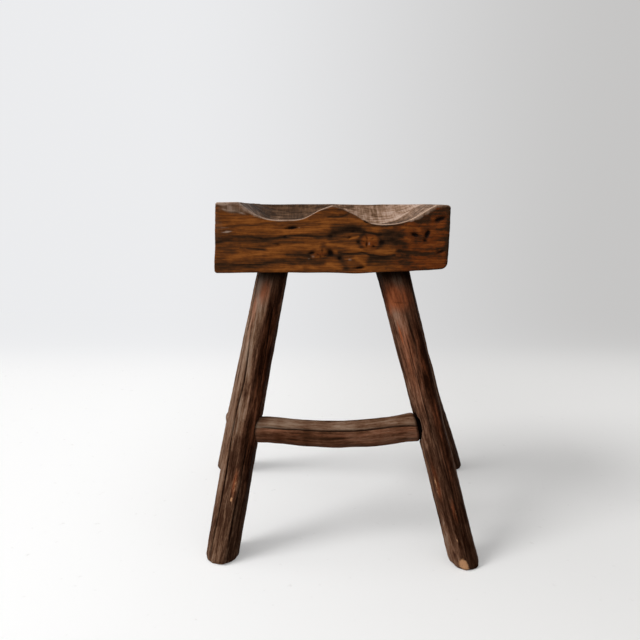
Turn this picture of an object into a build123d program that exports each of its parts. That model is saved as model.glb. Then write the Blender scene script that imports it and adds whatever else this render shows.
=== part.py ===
from build123d import *
import math
import os

# A hewn saddle stool in millimetres. It stands on the floor, z = 0. Its front is toward -Y and
# its right side toward +X. The origin is the middle of the feet, on the floor.

# Seat block
seat_width = 409
seat_depth = 245
seat_thickness = 118
seat_top_height = 635
lower_left_flare = 3.5
upper_left_lean = 2.5
upper_right_flare = 2.5
left_horn_width = 46
left_horn_rise = 4.3
left_horn_rear_rise = 1
left_horn_level_length = 22
horn_slope_width = 12
right_corner_rise = 6
right_corner_width = 66
lower_left_radius = 5
upper_left_radius = 4
upper_right_radius = 7
lower_right_radius = 13
arris_radius = 2

# Saddle carved into the seat's top. Places across it are measured from the pommel's crest.
pommel_offset = 2
left_scoop_reach = 168
left_scoop_centre = 83
right_scoop_reach = 197
right_scoop_centre = 94
left_front_depth = 26
right_front_depth = 33
left_bowl_depth = 38
right_bowl_depth = 42
pommel_front_depth = 0.5
pommel_bowl_depth = 24
rear_rim_width = 14
bowl_setback = 105
rear_slope_length = 50
rear_slope_share = 0.62
rear_lift = 3
edge_lift = 6
# Points of each flank's curve, as a share of the way along it and a share of its depth
pommel_flank_shares = ((0.09, 0.07), (0.33, 0.37), (0.62, 0.84))
left_wall_shares = ((0.28, 0.54), (0.58, 0.9))
right_wall_shares = ((0.3, 0.34), (0.55, 0.72))

# Sockets in the underside, and the tenons in them
front_socket_setback = 57
rear_socket_setback = 57
socket_depth = 56
tenon_radius = 19
tenon_clearance = 0.2
tenon_end_gap = 1.5

# Legs. Spread is sideways and reach is forward or back, both from the socket to the foot.
front_left_socket_inset = 99
front_left_spread = 94.5
front_left_reach = 116
front_left_foot_radius = 30
front_left_middle_radius = 29.5
front_left_top_radius = 26.5
front_left_bow = 2.2

front_right_socket_inset = 90.5
front_right_spread = 126
front_right_reach = 136
front_right_foot_radius = 27.5
front_right_middle_radius = 27.2
front_right_top_radius = 32
front_right_bow = -0.4

rear_left_socket_inset = 86.5
rear_left_spread = 126
rear_left_reach = 133
rear_left_foot_radius = 28
rear_left_middle_radius = 28.5
rear_left_top_radius = 27
rear_left_bow = 0.5

rear_right_socket_inset = 89.5
rear_right_spread = 183
rear_right_reach = 138
rear_right_foot_radius = 28
rear_right_middle_radius = 28
rear_right_top_radius = 26.5
rear_right_bow = 3

# Drawknife facets and worn feet
facet_count = 10
leg_station_count = 7
facet_unevenness_share = 0.035
foot_wear = 4

# Knot on the rear left leg
knot_height = 138
knot_radius = 20
knot_rise = 4
knot_turn = 170

# Front stretcher, and its seats in the two front legs
stretcher_left_height = 228
stretcher_right_height = 237
stretcher_section_height = 50
stretcher_section_depth = 38
stretcher_bow = 12
stretcher_station_count = 9
stretcher_tenon_radius = 12
stretcher_tenon_length = 20
housing_depth = 9
housing_slack = 0.8

# One overrun carries every cut past the faces it passes through
cut_overrun = 30

underside = seat_top_height - seat_thickness
half_width = seat_width / 2
half_depth = seat_depth / 2
seat_front = -half_depth
seat_rear = half_depth


class Leg:
    """A branch leg: where its centre line meets the underside and the floor, and its girth."""

    def __init__(self, name, side, end, inset, spread, reach, radii, bow):
        setback = front_socket_setback if end < 0 else rear_socket_setback
        self.name = name
        self.socket = Vector(side * (half_width - inset), end * (half_depth - setback), underside)
        self.foot = self.socket + Vector(side * spread, end * reach, -underside)
        self.radii = radii
        self.bow = side * bow
        self.axis = (self.socket - self.foot).normalized()
        self.length = (self.socket - self.foot).length
        self.frame = Plane(origin=self.foot, x_dir=(1, 0, 0), z_dir=self.axis)
        self.phase = math.atan2(self.foot.Y, self.foot.X)

    def radius(self, share):
        """Girth at a share of the way up, as a curve through the foot, middle and top."""
        foot, middle, top = self.radii
        lower = foot * (1 - share) * (1 - 2 * share)
        centre = middle * 4 * share * (1 - share)
        upper = top * share * (2 * share - 1)
        return lower + centre + upper

    def bend(self, share):
        """How far the centre line bows out sideways at a share of the way up."""
        return self.bow * math.sin(math.pi * share)

    def point(self, height):
        """The bowed centre line's point at a height over the floor."""
        share = height / underside
        straight = self.foot + (self.socket - self.foot) * share
        return straight + self.frame.x_dir * self.bend(share)


legs = [
    Leg("leg_front_left", -1, -1, front_left_socket_inset, front_left_spread, front_left_reach,
        (front_left_foot_radius, front_left_middle_radius, front_left_top_radius), front_left_bow),
    Leg("leg_front_right", 1, -1, front_right_socket_inset, front_right_spread, front_right_reach,
        (front_right_foot_radius, front_right_middle_radius, front_right_top_radius),
        front_right_bow),
    Leg("leg_rear_left", -1, 1, rear_left_socket_inset, rear_left_spread, rear_left_reach,
        (rear_left_foot_radius, rear_left_middle_radius, rear_left_top_radius), rear_left_bow),
    Leg("leg_rear_right", 1, 1, rear_right_socket_inset, rear_right_spread, rear_right_reach,
        (rear_right_foot_radius, rear_right_middle_radius, rear_right_top_radius),
        rear_right_bow),
]
front_left, front_right, rear_left, rear_right = legs


def faceted_section(half_x, half_y, phase):
    """An uneven many-sided section, as a drawknife leaves a branch."""
    corners = []
    for index in range(facet_count):
        angle = 2 * math.pi * index / facet_count
        swell = 1 + facet_unevenness_share * math.cos(3 * angle + phase)
        corners.append((half_x * swell * math.cos(angle), half_y * swell * math.sin(angle)))
    return Polygon(*corners, align=None)


def leg_body(leg):
    """The branch, cut level at the floor and along the seat's underside."""
    past_ends = cut_overrun / leg.length
    sections = []
    for index in range(leg_station_count):
        share = -past_ends + (1 + 2 * past_ends) * index / (leg_station_count - 1)
        radius = leg.radius(share)
        place = leg.frame * Pos(leg.bend(share), 0, leg.length * share)
        sections.append(place * faceted_section(radius, radius, leg.phase))
    body = loft(sections)
    body = split(body, bisect_by=Plane.XY, keep=Keep.TOP)
    body = split(body, bisect_by=Plane.XY.offset(underside), keep=Keep.BOTTOM)
    return chamfer(body.faces().sort_by(Axis.Z)[0].edges(), foot_wear)


def round_along(origin, direction, radius, length):
    """A round bar from a point along a direction."""
    return Plane(origin=origin, z_dir=direction) * Cylinder(
        radius, length, align=(Align.CENTER, Align.CENTER, Align.MIN))


def leg_tenon(leg, clearance, end_gap):
    """The round tenon in its socket, or with a clearance the socket itself."""
    slant = leg.axis.Z
    start = leg.socket - leg.axis * cut_overrun
    length = cut_overrun + socket_depth / slant - end_gap
    return round_along(start, leg.axis, tenon_radius + clearance, length)


def seat_outline():
    """The hewn block seen from the front, with a raised left horn and worn corners."""
    top = seat_top_height
    horn = left_horn_width
    outline = Polygon(
        (-half_width - lower_left_flare, underside),
        (half_width - right_corner_width, underside),
        (half_width, underside + right_corner_rise),
        (half_width + upper_right_flare, top),
        (-half_width + horn + horn_slope_width, top),
        (-half_width + horn, top + left_horn_rise),
        (-half_width + upper_left_lean, top + left_horn_rise),
        align=None)
    corners = outline.vertices()
    lower_left = corners.sort_by_distance((-half_width, underside, 0))[0]
    upper_left = corners.sort_by_distance((-half_width, top, 0))[0]
    lower_right = corners.sort_by_distance((half_width, underside, 0))[0]
    upper_right = corners.sort_by_distance((half_width, top, 0))[0]
    outline = fillet(lower_left, lower_left_radius)
    for corner, radius in ((upper_left, upper_left_radius), (lower_right, lower_right_radius),
                           (upper_right, upper_right_radius)):
        nearest = outline.vertices().sort_by_distance(corner)[0]
        outline = fillet(nearest, radius)
    return outline


def scoop_section(place_y, left_depth, right_depth, pommel_depth):
    """The carved saddle's section across the seat, closed over the seat's top."""
    top = seat_top_height
    crest = pommel_offset
    left_edge = crest - left_scoop_reach
    right_edge = crest + right_scoop_reach
    left_low = crest - left_scoop_centre
    right_low = crest + right_scoop_centre

    def flank(edge, low, edge_depth, low_depth, shares):
        return [(edge + (low - edge) * along, place_y,
                 top - edge_depth - (low_depth - edge_depth) * down) for along, down in shares]

    saddle = Spline(
        (left_edge, place_y, top + edge_lift),
        *flank(left_edge, left_low, -edge_lift, left_depth, left_wall_shares),
        (left_low, place_y, top - left_depth),
        *reversed(flank(crest, left_low, pommel_depth, left_depth, pommel_flank_shares)),
        (crest, place_y, top - pommel_depth),
        *flank(crest, right_low, pommel_depth, right_depth, pommel_flank_shares),
        (right_low, place_y, top - right_depth),
        *reversed(flank(right_edge, right_low, -edge_lift, right_depth, right_wall_shares)),
        (right_edge, place_y, top + edge_lift))
    lid = Polyline(
        (right_edge, place_y, top + edge_lift),
        (right_edge, place_y, top + cut_overrun),
        (left_edge, place_y, top + cut_overrun),
        (left_edge, place_y, top + edge_lift))
    return make_face(Wire([*saddle.edges(), *lid.edges()]))


def saddle_cutter():
    """Both thigh scoops, deepest behind the pommel and rising to the straight rear edge."""
    bowl = seat_front + bowl_setback
    rear_end = seat_rear - rear_rim_width
    slope = rear_end - rear_slope_length
    hollow_share = rear_slope_share
    return loft([
        scoop_section(seat_front - cut_overrun, left_front_depth, right_front_depth,
                      pommel_front_depth),
        scoop_section(seat_front, left_front_depth, right_front_depth, pommel_front_depth),
        scoop_section(bowl, left_bowl_depth, right_bowl_depth, pommel_bowl_depth),
        scoop_section(slope, left_bowl_depth * hollow_share, right_bowl_depth * hollow_share,
                      pommel_bowl_depth * hollow_share),
        scoop_section(rear_end, -rear_lift, -rear_lift, -rear_lift),
    ])


def horn_slope():
    """The plane along which the left horn falls away toward the rear."""
    start = Vector(0, seat_front + left_horn_level_length, seat_top_height + left_horn_rise)
    fall = left_horn_rise - left_horn_rear_rise
    return Plane(origin=start, z_dir=(0, fall, seat_depth - left_horn_level_length))


def seat_block():
    """The hewn block with its saddle carved and its four sockets bored."""
    block = extrude(Plane.XZ.offset(half_depth) * seat_outline(), -seat_depth)
    block -= saddle_cutter()
    by_depth = block.faces().sort_by(Axis.Y)
    block = fillet(by_depth[0].edges() + by_depth[-1].edges(), arris_radius)
    block = split(block, bisect_by=horn_slope(), keep=Keep.BOTTOM)
    for leg in legs:
        block -= leg_tenon(leg, tenon_clearance, 0)
    return block


class StretcherEnd:
    """One end of the stretcher: the leg it enters, its shoulder and the way into the leg."""

    def __init__(self, leg, height, toward):
        girth = leg.radius(height / underside)
        across = (toward - leg.axis * toward.dot(leg.axis)).normalized()
        out = (girth - housing_depth) / across.dot(toward)
        self.inward = toward * -1
        self.shoulder = Plane(origin=leg.point(height) + toward * out, z_dir=across)


stretcher_left = front_left.point(stretcher_left_height)
stretcher_right = front_right.point(stretcher_right_height)
stretcher_run = stretcher_right - stretcher_left
stretcher_axis = stretcher_run.normalized()
stretcher_sideways = Vector(0, 0, 1).cross(stretcher_axis).normalized()
left_end = StretcherEnd(front_left, stretcher_left_height, stretcher_axis)
right_end = StretcherEnd(front_right, stretcher_right_height, stretcher_axis * -1)


def stretcher_section(origin, slack):
    """The split branch's section, square to its run, larger all round by a slack."""
    place = Plane(origin=origin, x_dir=stretcher_sideways, z_dir=stretcher_axis)
    return place * faceted_section(
        stretcher_section_depth / 2 + slack, stretcher_section_height / 2 + slack, 0)


def stretcher_tenon(end, clearance, end_gap):
    """The round tenon past a shoulder, or with a clearance the mortise for it."""
    start = end.shoulder.origin - end.inward * housing_depth
    length = housing_depth + stretcher_tenon_length + end_gap
    return round_along(start, end.inward, stretcher_tenon_radius + clearance, length)


def front_stretcher():
    """The bowed split branch between its two shoulders, with a tenon at each end."""
    sections = []
    for index in range(stretcher_station_count):
        share = index / (stretcher_station_count - 1)
        sag = stretcher_bow * math.sin(math.pi * share) ** 2
        sections.append(stretcher_section(
            stretcher_left + stretcher_run * share - Vector(0, 0, sag), 0))
    body = loft(sections)
    for end in (left_end, right_end):
        body = split(body, bisect_by=end.shoulder, keep=Keep.TOP)
        body += stretcher_tenon(end, 0, 0)
    return body


def stretcher_housing(end):
    """The shallow housing that takes the whole stretcher, and the mortise in its floor."""
    start = end.shoulder.origin + end.inward * cut_overrun
    prism = extrude(stretcher_section(start, housing_slack), 2 * cut_overrun,
                    dir=end.inward * -1)
    prism = split(prism, bisect_by=end.shoulder, keep=Keep.TOP)
    return prism + stretcher_tenon(end, tenon_clearance, tenon_end_gap)


def knot(leg, height):
    """A healed branch knot that stands out of a leg's side."""
    share = height / underside
    out = leg.frame.x_dir.rotate(Axis((0, 0, 0), leg.axis), knot_turn)
    return Pos(leg.point(height) + out * (leg.radius(share) + knot_rise - knot_radius)) * Sphere(
        knot_radius)


os.makedirs("parts", exist_ok=True)
footprint_middle = Vector(
    (min(leg.foot.X for leg in legs) + max(leg.foot.X for leg in legs)) / 2,
    (min(leg.foot.Y for leg in legs) + max(leg.foot.Y for leg in legs)) / 2,
    0)
nodes = {"seat_block": seat_block(), "front_stretcher": front_stretcher()}
for leg in legs:
    nodes[leg.name] = leg_body(leg) + leg_tenon(leg, 0, tenon_end_gap)
nodes["leg_front_left"] -= stretcher_housing(left_end)
nodes["leg_front_right"] -= stretcher_housing(right_end)
nodes["leg_rear_left"] += knot(rear_left, knot_height)
for name, shape in nodes.items():
    export_step(Pos(footprint_middle * -1) * shape, f"parts/{name}.step")
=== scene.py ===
from math import atan2, cos, exp, hypot, pi, radians, sin
from typing import NamedTuple

import bmesh
import bpy
from bpy.props import FloatProperty, FloatVectorProperty, IntProperty, PointerProperty
from bpy.types import Operator, Panel, PropertyGroup
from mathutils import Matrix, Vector, noise
from mathutils.bvhtree import BVHTree


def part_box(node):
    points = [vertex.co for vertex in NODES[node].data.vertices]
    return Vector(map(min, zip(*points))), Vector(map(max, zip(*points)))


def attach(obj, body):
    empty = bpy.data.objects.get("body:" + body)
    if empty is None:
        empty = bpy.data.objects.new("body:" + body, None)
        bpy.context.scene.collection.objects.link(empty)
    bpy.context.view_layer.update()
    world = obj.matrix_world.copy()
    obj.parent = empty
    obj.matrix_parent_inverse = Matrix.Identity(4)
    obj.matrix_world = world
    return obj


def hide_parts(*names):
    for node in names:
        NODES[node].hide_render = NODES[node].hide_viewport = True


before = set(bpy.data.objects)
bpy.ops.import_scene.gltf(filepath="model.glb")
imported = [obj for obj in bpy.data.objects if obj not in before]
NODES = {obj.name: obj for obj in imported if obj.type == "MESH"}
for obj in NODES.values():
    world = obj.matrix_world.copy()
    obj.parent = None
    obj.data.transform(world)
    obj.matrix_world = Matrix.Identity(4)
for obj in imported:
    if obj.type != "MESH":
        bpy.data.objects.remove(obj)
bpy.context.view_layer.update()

bl_info = {
    "name": "Saddle Stool",
    "version": (1, 0, 0),
    "blender": (4, 5, 0),
    "location": "3D View > Sidebar > Stool",
    "description": "Hewn saddle stool with branch legs and a bowed stretcher",
    "category": "Add Mesh",
}

MM = 0.001
DOWN = Vector((0, 0, -1))


# Small helpers for smooth shapes

def ease(value):
    """Smooth step from 0 to 1, flat outside."""
    value = min(max(value, 0.0), 1.0)
    return value * value * (3 - 2 * value)


def bump(distance, width):
    """A bell that is 1 at distance 0 and gone after about twice its width."""
    return exp(-(distance / width) ** 2)


def bumps(value, rows):
    """The sum of bells, each given as its place, width and height."""
    return sum(height * bump(value - place, width) for place, width, height in rows)


def turn_between(angle, other):
    """The shortest signed turn from one angle to another."""
    return (angle - other + pi) % (2 * pi) - pi


def rough(point, scale, seed):
    """Smooth noise from -1 to 1 with a seed, where scale is the size of its lumps."""
    return noise.noise(Vector(point) / scale + Vector((seed * 7.31, seed * 3.17, seed * 5.53)))


def hewing(place, axis, rows, seed=0):
    """Hewn relief at a place: rows of its depth in mm, stretch along an axis, scale and seed."""
    total = 0.0
    for depth, stretch, scale, number in rows:
        point = list(place)
        point[axis] *= stretch
        total += depth * MM * rough(point, scale, seed + number)
    return total


def pairs(numbers):
    """A flat row of numbers, two by two."""
    return zip(numbers[::2], numbers[1::2])


def along_path(points, value):
    """The second number of a list of pairs, at a place between their first numbers."""
    if value <= points[0][0]:
        return points[0][1]
    for (start, first), (end, last) in zip(points, points[1:]):
        if value <= end:
            return first + (last - first) * (value - start) / (end - start)
    return points[-1][1]


class Solid:
    """A CAD node's surface, to fit a finer piece to it."""

    def __init__(self, node):
        mesh = NODES[node].data
        self.corners = [vertex.co.copy() for vertex in mesh.vertices]
        triangles = [tuple(face.vertices) for face in mesh.polygons]
        self.tree = BVHTree.FromPolygons(self.corners, triangles)

    def reach(self, origin, direction):
        """How far the surface is from a point that way, or None where the ray misses."""
        return self.tree.ray_cast(origin, direction)[3]

    def top(self, x, y, above):
        """How high the surface is at a place, seen from a height above it."""
        start = Vector((x, y, above))
        return start.z - self.reach(start, DOWN)

    def middle(self, height):
        """The mean of the corners within a millimetre of a height."""
        inside = [corner for corner in self.corners if height - MM <= corner.z <= height + MM]
        return sum(inside, Vector()) / len(inside)


def lengthwise_tube(columns, cuts):
    """A closed tube from -1 to 1 along Z, cut into rings."""
    mesh = bmesh.new()
    bmesh.ops.create_cone(mesh, segments=columns, radius1=1, radius2=1, depth=2, cap_ends=True)
    lengthwise = [edge for edge in mesh.edges
                  if abs(edge.verts[0].co.z - edge.verts[1].co.z) > 1]
    bmesh.ops.subdivide_edges(mesh, edges=lengthwise, cuts=cuts, use_grid_fill=True)
    mesh.verts.index_update()
    return mesh


def linked(name, data):
    """A new object in the scene."""
    item = bpy.data.objects.new(name, data)
    bpy.context.scene.collection.objects.link(item)
    return item


def smooth_object(mesh, name, material):
    """Puts a finished bmesh into the scene as a smooth-shaded object."""
    for face in mesh.faces:
        face.smooth = True
    data = bpy.data.meshes.new(name)
    mesh.to_mesh(data)
    mesh.free()
    data.materials.append(material)
    return linked(name, data)


def finished(mesh, name, node, material, grain, names, marks):
    """Turns a bmesh into a piece that rides on the stool and stands for a CAD node.

    Each vertex has its place along and across the grain, and a row of the named marks.
    """
    piece = smooth_object(mesh, name, material)
    layer = piece.data.attributes.new("grain", "FLOAT_VECTOR", "POINT")
    layer.data.foreach_set("vector", [value for place in grain for value in place])
    for index, mark in enumerate(names):
        layer = piece.data.attributes.new(mark, "FLOAT", "POINT")
        layer.data.foreach_set("value", [row[index] for row in marks])
    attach(piece, "root")
    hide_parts(node)


def seen(tree):
    """1 for what the camera sees, itself or by way of a reflection or through glass."""
    paths = tree.nodes.new("ShaderNodeLightPath").outputs
    shown = paths["Is Camera Ray"]
    for name in ("Is Glossy Ray", "Is Transmission Ray"):
        either = tree.nodes.new("ShaderNodeMath")
        either.operation = "MAXIMUM"
        tree.links.new(shown, either.inputs[0])
        tree.links.new(paths[name], either.inputs[1])
        shown = either.outputs[0]
    return shown


# Procedural materials

class Paint:
    """Builds one procedural material from shader nodes."""

    def __init__(self, name):
        self.material = bpy.data.materials.new(name)
        self.material.use_nodes = True
        self.tree = self.material.node_tree
        self.shader = self.tree.nodes["Principled BSDF"]
        self.place = self.tree.nodes.new("ShaderNodeTexCoord").outputs["Object"]

    def feed(self, value, socket):
        """Puts a number or another node's output into a socket."""
        if isinstance(value, bpy.types.NodeSocket):
            self.tree.links.new(value, socket)
        else:
            socket.default_value = value

    def fill(self, node, **inputs):
        """Feeds a node's inputs by name, where _ stands for a space."""
        for name, value in inputs.items():
            self.feed(value, node.inputs[name.replace("_", " ")])
        return node

    def node(self, kind, **inputs):
        """A new shader node, with its inputs fed."""
        return self.fill(self.tree.nodes.new("ShaderNode" + kind), **inputs)

    def attribute(self, name, output="Fac"):
        """What the mesh carries under a name."""
        node = self.node("Attribute")
        node.attribute_name = name
        return node.outputs[output]

    def math(self, operation, *values):
        """A sum, product or the like of numbers or other nodes' outputs."""
        node = self.node("Math")
        node.operation = operation
        for value, socket in zip(values, node.inputs):
            self.feed(value, socket)
        return node.outputs[0]

    def noise(self, stretch, detail=4.0, roughness=0.55, distortion=0.0, shift=0.0):
        """Noise in the material's coordinates; stretch is lumps per metre each way."""
        place = self.node("Mapping", Vector=self.place, Scale=stretch,
                          Location=(shift, shift * 2, shift * 3))
        node = self.node("TexNoise", Vector=place.outputs[0], Scale=1.0, Detail=detail,
                         Roughness=roughness, Distortion=distortion)
        return node.outputs["Fac"]

    def blend(self, *layers):
        """Adds noises up around 0.5, each given with its contrast."""
        total = 0.5 - sum(0.5 * contrast for _, contrast in layers)
        for layer, contrast in layers:
            total = self.math("MULTIPLY_ADD", layer, contrast, total)
        return total

    def marked(self, tone, mark, strength):
        """Shifts a tone by a signed mark."""
        return self.math("MULTIPLY_ADD", self.attribute(mark), strength, tone)

    def range(self, value, low, high, to_low=0.0, to_high=1.0):
        """Eases a number from one range to another and holds it there outside."""
        node = self.node("MapRange", Value=value, From_Min=low, From_Max=high, To_Min=to_low,
                         To_Max=to_high)
        node.interpolation_type = "SMOOTHSTEP"
        return node.outputs["Result"]

    def ramp(self, value, stops):
        """Colours along a ramp, given as place and colour."""
        node = self.node("ValToRGB", Fac=value)
        points = node.color_ramp.elements
        while len(points) < len(stops):
            points.new(0.5)
        for point, (place, colour) in zip(points, stops):
            point.position = place
            point.color = (*colour, 1.0)
        return node.outputs["Color"]

    def mix(self, share, first, second):
        """A share of the second colour over the first."""
        node = self.node("Mix", Factor=share)
        node.data_type = "RGBA"
        first_colour, second_colour = [put for put in node.inputs if put.type == "RGBA"]
        for value, socket in ((first, first_colour), (second, second_colour)):
            is_colour = not isinstance(value, bpy.types.NodeSocket)
            self.feed((*value, 1.0) if is_colour else value, socket)
        return [put for put in node.outputs if put.type == "RGBA"][0]


class Wood(Paint):
    """Wood whose pattern follows the grain that its mesh carries."""

    def __init__(self, name):
        super().__init__(name)
        self.place = self.attribute("grain", "Vector")

    def patch(self, mark, breakup, colour, patch_colour, soft=0.25):
        """Lays a colour over a marked patch, with the patch's edge broken up by noise."""
        share = self.math("MULTIPLY_ADD", breakup, 2.4, -0.2)
        share = self.math("MULTIPLY", share, self.attribute(mark))
        return self.mix(self.range(share, 0.5 - soft, 0.5 + soft), colour, patch_colour)

    def finish(self, colour, roughness, gloss, relief, depth):
        """Joins colour, roughness and a fine bump to the shader."""
        node = self.node("Bump", Strength=1.0, Distance=depth, Height=relief)
        self.fill(self.shader, Base_Color=colour, Roughness=roughness, Specular_IOR_Level=gloss,
                  Normal=node.outputs["Normal"])
        return self.material


def branch_wood(name, look, stops, shift):
    """Weathered branch wood: streaks along the branch, red patches, bare scrapes, cracks, and the
    painted light and shade that its marks carry.
    """
    wood = Wood(name)
    blotch = wood.noise((9, 36, 36), 3.0, 0.6, 0.4, shift)
    streak = wood.noise((15, 190, 190), 5.0, 0.64, 0.5, shift + 2)
    fibre = wood.noise((70, 900, 900), 4.0, 0.6, 0.0, shift + 5)
    flake = wood.noise((170, 420, 420), 3.0, 0.6, 0.0, shift + 8)
    tone = wood.blend((streak, 1.25), (blotch, 1.1), (fibre, 0.45), (flake, 0.35))
    tone = wood.marked(tone, "tone", 0.3)
    colour = wood.ramp(tone, stops)
    rust = wood.ramp(tone, (
        (0.15, look.leg_dark), (0.42, look.leg_rust), (0.80, look.leg_red)))
    colour = wood.patch("red", streak, colour, rust, 0.45)
    colour = wood.patch("bare", flake, colour, look.bare_wood)
    # The dark mark paints cracks and holes black, and also painted shade under the seat and at
    # the stretcher's housings
    colour = wood.mix(wood.attribute("dark"), colour, look.crack_and_shade_black)
    roughness = wood.range(streak, 0.3, 0.7, look.leg_roughness - 0.1, look.leg_roughness + 0.15)
    relief = wood.blend((streak, 0.7), (fibre, 0.5), (flake, 0.25))
    return wood.finish(colour, roughness, look.leg_gloss, relief, 1.1 * MM)


def leg_wood(name, look, middle, shift):
    """Dark brown branch, through the leg's own middle tone to grey where it is worn and where its
    lit side is painted lighter.
    """
    return branch_wood(name, look, (
        (0.13, look.leg_dark), (0.41, look.leg_brown), (0.59, middle),
        (0.80, look.leg_grey), (1.0, look.leg_pale)), shift)


def stretcher_wood(look):
    """Greyish tan above the crack, by its tone mark, and warm brown below it."""
    return branch_wood("stretcher wood", look, (
        (0.10, look.leg_dark), (0.40, look.stretcher_brown), (0.62, look.stretcher_tan),
        (0.88, look.stretcher_grey)), 3.3)


def seat_wood(look):
    """Honey-orange block with dark wandering streaks and knots, and a grey worn saddle."""
    wood = Wood("seat wood")
    broad = wood.noise((4, 20, 38), 4.0, 0.55, 0.7, 1.3)
    streak = wood.noise((7, 90, 165), 6.0, 0.62, 0.9, 4.1)
    fibre = wood.noise((24, 260, 400), 4.0, 0.6, 0.6, 7.7)
    mottle = wood.noise((95, 160, 190), 4.0, 0.62, 0.3, 5.2)
    tone = wood.blend((streak, 0.75), (broad, 0.7), (fibre, 0.8), (mottle, 0.45))
    tone = wood.marked(tone, "tone", 0.3)
    colour = wood.ramp(tone, (
        (0.0, look.seat_black), (0.22, look.seat_dark), (0.41, look.seat_brown),
        (0.57, look.seat_honey), (0.80, look.seat_orange)))
    heart = wood.ramp(tone, (
        (0.10, look.seat_dark), (0.36, look.knot_red), (0.85, look.seat_orange)))
    colour = wood.patch("red", mottle, colour, heart, 0.45)
    hatch = wood.noise((210, 14, 14), 4.0, 0.6, 0.7, 2.9)
    band = wood.noise((9, 45, 30), 4.0, 0.6, 1.2, 6.6)
    speck = wood.noise((110, 50, 70), 4.0, 0.62, 0.0, 3.7)
    worn_tone = wood.blend((band, 1.1), (hatch, 0.7), (speck, 0.6))
    worn_tone = wood.marked(worn_tone, "saddle_tone", 0.32)
    worn = wood.ramp(worn_tone, (
        (0.12, look.worn_dark), (0.42, look.worn_brown), (0.62, look.worn_tan),
        (0.88, look.worn_grey)))
    share = wood.math("MULTIPLY_ADD", wood.math("SUBTRACT", speck, 0.5), 0.6,
                      wood.attribute("worn"))
    colour = wood.mix(wood.range(share, 0.1, 0.9), colour, worn)
    colour = wood.patch("bare", mottle, colour, look.rim_light, 0.4)
    colour = wood.mix(wood.attribute("dark"), colour, look.crack_and_shade_black)
    roughness = wood.range(streak, 0.3, 0.7, look.seat_roughness - 0.08,
                           look.seat_roughness + 0.15)
    relief = wood.blend((streak, 0.6), (fibre, 0.5), (mottle, 0.3))
    return wood.finish(colour, roughness, look.seat_gloss, relief, 1.0 * MM)


# Settings that a user would change

def shade(name, description, default):
    """A colour setting."""
    return FloatVectorProperty(name=name, description=description, subtype="COLOR", size=3,
                               min=0.0, max=1.0, default=default)


def length(name, description, default):
    """A length setting in metres."""
    return FloatProperty(name=name, description=description, subtype="DISTANCE", unit="LENGTH",
                         default=default)


def count(name, description, default):
    """A setting for how many faces or cuts a mesh gets."""
    return IntProperty(name=name, description=description, min=8, max=400, default=default)


def share(name, description, default):
    """A setting from 0 to 1."""
    return FloatProperty(name=name, description=description, subtype="FACTOR", min=0.0,
                         max=1.0, default=default)


def level(name, description, default):
    """A lamp's strength, where 1 lights a facing surface as its colour is written."""
    return FloatProperty(name=name, description=description, min=0.0, default=default)


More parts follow.
